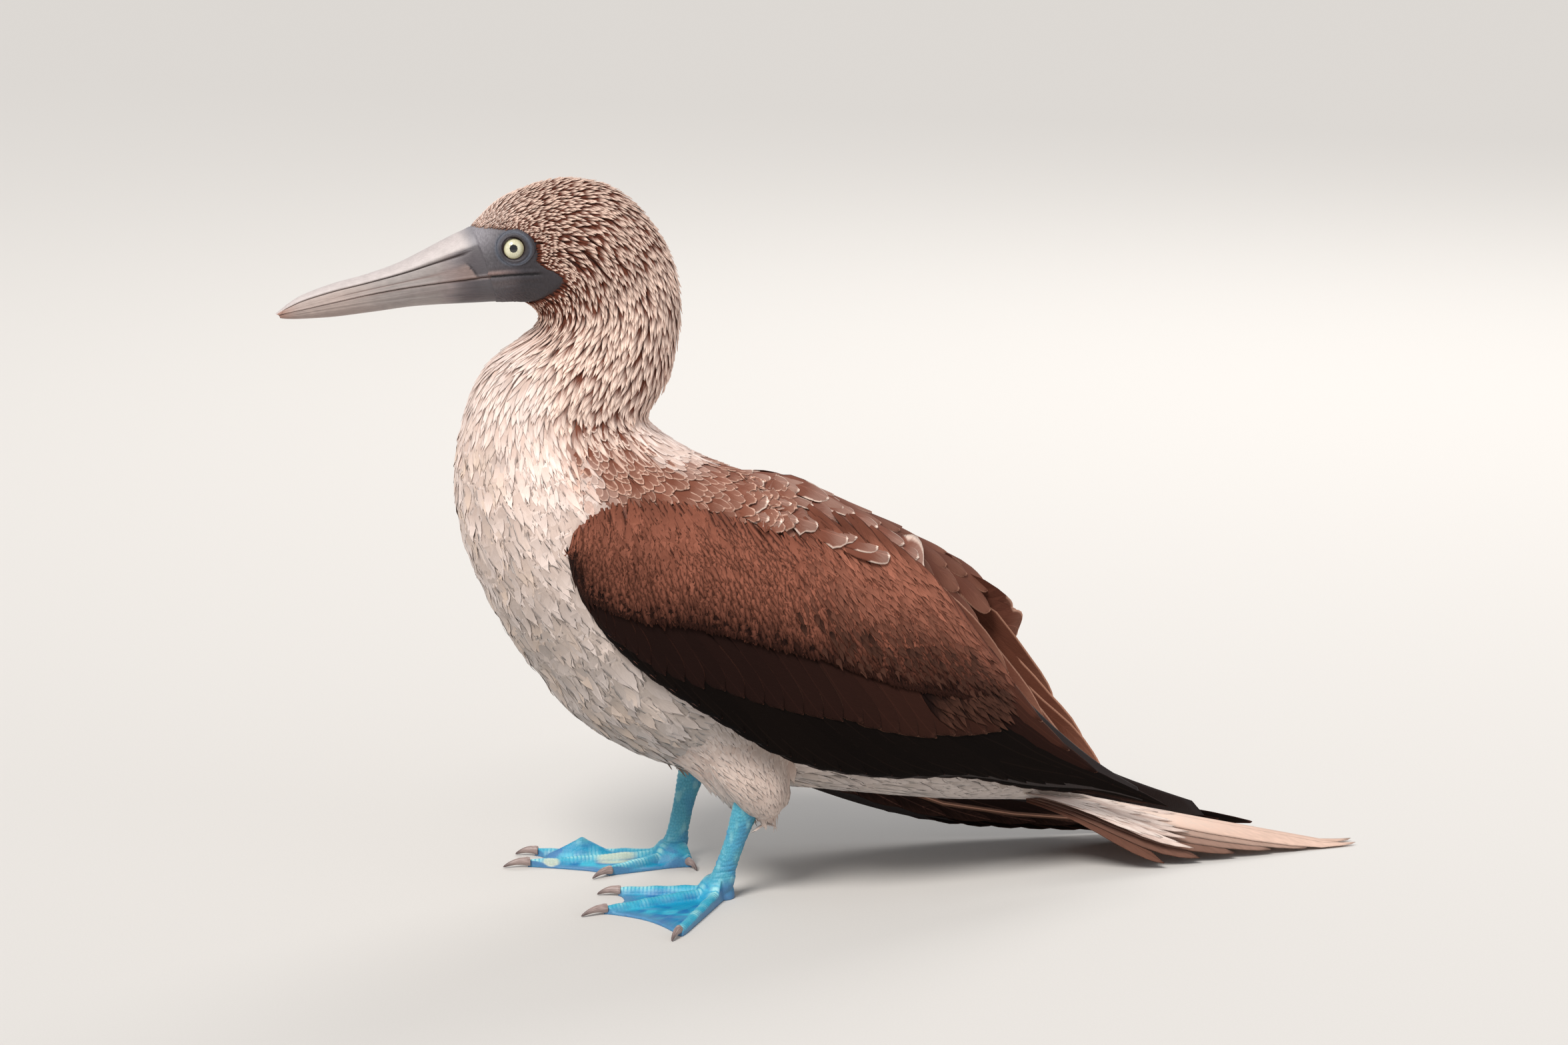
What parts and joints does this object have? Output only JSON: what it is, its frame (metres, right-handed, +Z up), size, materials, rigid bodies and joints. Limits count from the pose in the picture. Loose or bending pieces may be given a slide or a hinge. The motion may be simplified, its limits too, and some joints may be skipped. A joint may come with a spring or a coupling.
{
  "type": "blue-footed booby, life-size still model",
  "caption": "Standing seabird with a long tapering bill, folded brown wings, pale breast, wedge tail and bright blue webbed feet, as a still life-size model.",
  "frame": {"origin": "middle of the base of the bounding box, on the floor under the bird", "axes": "+X towards the tail, the bird looks along -X; +Y towards its right side; +Z up"},
  "size_m": [0.564, 0.1782, 0.3663],
  "materials": {
    "plumage_head": "streaked buff and brown pointed feathers, matt",
    "plumage_body": "soft off-white feathers, matt",
    "plumage_wing": "warm brown to dark chocolate coverts, pale fringes on the scapulars, low sheen",
    "flight_feathers": "near-black vanes with a low sheen",
    "plumage_tail": "cream vanes streaked with brown",
    "bill_horn": "slate-grey horn, paler along the ridge and pinkish at the tip, satin",
    "leg_skin": "turquoise scaly skin and bright blue webs, satin",
    "claw_horn": "pinkish-grey horn, satin",
    "eye": "pale yellow iris, black pupil, wet gloss"
  },
  "bodies": {
    "root": {"head": "plumage_head", "neck": "plumage_head", "trunk": "plumage_body", "bill_upper": "bill_horn", "bill_lower": "bill_horn", "eye_left": "eye", "eye_right": "eye", "wing_left": "plumage_wing", "wing_right": "plumage_wing", "primaries_left_1": "flight_feathers", "primaries_left_2": "flight_feathers", "primaries_left_3": "flight_feathers", "primaries_right_1": "flight_feathers", "primaries_right_2": "flight_feathers", "primaries_right_3": "flight_feathers", "secondaries_left_1": "plumage_wing", "secondaries_left_2": "plumage_wing", "secondaries_left_3": "plumage_wing", "secondaries_right_1": "plumage_wing", "secondaries_right_2": "plumage_wing", "secondaries_right_3": "plumage_wing", "scapulars_left": "plumage_wing", "scapulars_right": "plumage_wing", "tertials_left": "plumage_wing", "tertials_right": "plumage_wing", "tail_feather_left_1": "plumage_tail", "tail_feather_left_2": "plumage_tail", "tail_feather_left_3": "plumage_tail", "tail_feather_left_4": "plumage_tail", "tail_feather_left_5": "plumage_tail", "tail_feather_left_6": "plumage_tail", "tail_feather_right_1": "plumage_tail", "tail_feather_right_2": "plumage_tail", "tail_feather_right_3": "plumage_tail", "tail_feather_right_4": "plumage_tail", "tail_feather_right_5": "plumage_tail", "tail_feather_right_6": "plumage_tail", "thigh_left": "plumage_body", "thigh_right": "plumage_body", "tarsus_left": "leg_skin", "tarsus_right": "leg_skin", "foot_left": "leg_skin", "foot_right": "leg_skin", "claw_left_1": "claw_horn", "claw_left_2": "claw_horn", "claw_left_3": "claw_horn", "claw_left_4": "claw_horn", "claw_right_1": "claw_horn", "claw_right_2": "claw_horn", "claw_right_3": "claw_horn", "claw_right_4": "claw_horn"}
  },
  "joints": []
}
